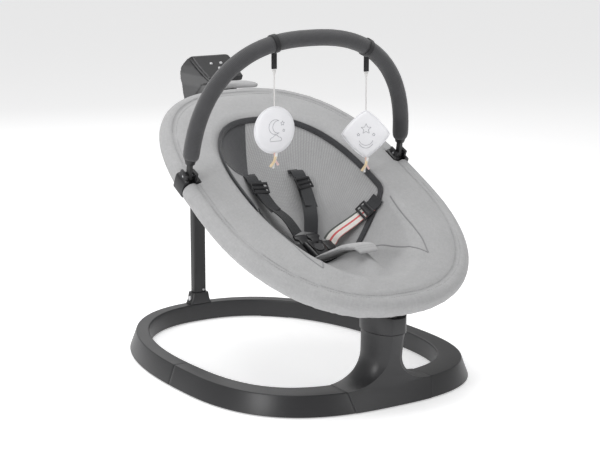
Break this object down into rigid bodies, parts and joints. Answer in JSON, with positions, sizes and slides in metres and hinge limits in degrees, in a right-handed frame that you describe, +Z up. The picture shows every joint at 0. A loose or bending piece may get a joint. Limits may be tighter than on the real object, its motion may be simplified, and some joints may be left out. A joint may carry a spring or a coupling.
{
  "type": "baby swing",
  "caption": "Side-to-side baby swing: oval hammock seat with harness and toy bar, hung between a front column and a rear post on a ring base.",
  "frame": {"origin": "centre of the bounding box's footprint, on the floor", "axes": "+Z up, -Y the front (foot end), +X the sitter's left; long axis along Y"},
  "size_m": [0.516, 0.7132, 0.6002],
  "materials": {
    "shell": "fine matte texture",
    "shell_trim": "satin",
    "post": "satin powder coat",
    "hoop": "satin",
    "steel": "brushed",
    "rubber": "matte",
    "copper": "enamelled wire",
    "board": "satin",
    "bush": "satin",
    "cover_fabric": "melange weave",
    "piping": "woven tape",
    "webbing": "ribbed webbing",
    "webbing_striped": "ribbed webbing with a red stripe",
    "buckle": "satin",
    "sleeve": "knitted sleeve",
    "toy_fabric": "soft plush"
  },
  "bodies": {
    "base": {"rail_left": "shell", "rail_right": "shell", "rear_arc": "shell", "pedestal_shell": "shell", "bottom_cover": "shell", "power_inlet": "buckle", "control_board": "board", "speaker": "buckle", "drive_coil": "copper", "coil_bracket": "shell_trim", "foot_front_left": "rubber", "foot_front_right": "rubber", "foot_rear_left": "rubber", "foot_rear_right": "rubber", "front_collar": "shell", "front_bush_outer": "bush", "front_bush_inner": "bush", "rear_post": "post", "post_foot": "shell", "post_head": "shell", "post_head_cover": "shell", "rear_bush": "bush"},
    "seat": {"seat_hoop": "hoop", "front_cradle": "shell", "front_pivot_shaft": "steel", "magnet_lever": "shell_trim", "drive_magnet": "steel", "seat_hanger": "shell", "rear_pivot_shaft": "steel", "seat_cover": "cover_fabric", "seat_piping": "piping", "head_tab": "cover_fabric", "crotch_pad": "cover_fabric", "shoulder_strap_left": "webbing", "shoulder_strap_right": "webbing", "waist_strap_left": "webbing_striped", "waist_strap_right": "webbing", "buckle_body": "buckle", "buckle_tongue_left": "buckle", "buckle_tongue_right": "buckle", "toy_bar_clamp_left": "buckle", "toy_bar_clamp_right": "buckle", "toy_bar_pin_left": "steel", "toy_bar_pin_right": "steel", "shoulder_adjuster_left": "buckle", "shoulder_adjuster_right": "buckle", "waist_adjuster_left": "buckle", "waist_adjuster_right": "buckle"},
    "power_button": {"power_button": "shell_trim"},
    "post_lock_button": {"post_lock_button": "shell_trim"},
    "buckle_button": {"buckle_button": "shell_trim"},
    "toy_bar": {"toy_bar_sleeve": "sleeve", "toy_bar_rod": "steel"},
    "toy_loop_left": {"toy_loop_left": "webbing"},
    "toy_loop_right": {"toy_loop_right": "webbing"},
    "toy_left": {"toy_cord_left": "toy_fabric", "diamond_toy": "toy_fabric"},
    "toy_right": {"toy_cord_right": "toy_fabric", "round_toy": "toy_fabric"}
  },
  "joints": [
    {"name": "seat_swing", "type": "hinge", "parent": "base", "child": "seat", "pos_m": [0, -0.282, 0.16], "axis": [0, 0.8543, 0.5197], "range_deg": [-10, 10]},
    {"name": "toy_bar_tilt", "type": "hinge", "parent": "seat", "child": "toy_bar", "pos_m": [0, -0.02474, 0.36308], "axis": [1, 0, 0], "range_deg": [-24, 40]},
    {"name": "buckle_press", "type": "slide", "parent": "seat", "child": "buckle_button", "axis": [0, 0.4524, -0.8918], "range_m": [0, 0.0018], "stiffness_N_per_m": 400},
    {"name": "power_press", "type": "slide", "parent": "base", "child": "power_button", "axis": [0, -1, 0], "range_m": [0, 0.0015], "stiffness_N_per_m": 400},
    {"name": "post_lock_press", "type": "slide", "parent": "base", "child": "post_lock_button", "axis": [1, 0, 0], "range_m": [0, 0.003], "stiffness_N_per_m": 400},
    {"name": "toy_loop_left_swing", "type": "hinge", "parent": "toy_bar", "child": "toy_loop_left", "pos_m": [0.12066, -0.05802, 0.56196], "axis": [-0.8916, -0.0747, 0.4467], "range_deg": [-20, 20]},
    {"name": "toy_left_swing", "type": "hinge", "parent": "toy_loop_left", "child": "toy_left", "pos_m": [0.12066, -0.05802, 0.51936], "axis": [0, 1, 0], "range_deg": [-22, 22]},
    {"name": "toy_loop_right_swing", "type": "hinge", "parent": "toy_bar", "child": "toy_loop_right", "pos_m": [-0.07107, -0.06088, 0.57905], "axis": [-0.9773, 0.035, -0.2092], "range_deg": [-20, 20]},
    {"name": "toy_right_swing", "type": "hinge", "parent": "toy_loop_right", "child": "toy_right", "pos_m": [-0.07107, -0.06088, 0.53645], "axis": [0, 1, 0], "range_deg": [-22, 22]}
  ]
}
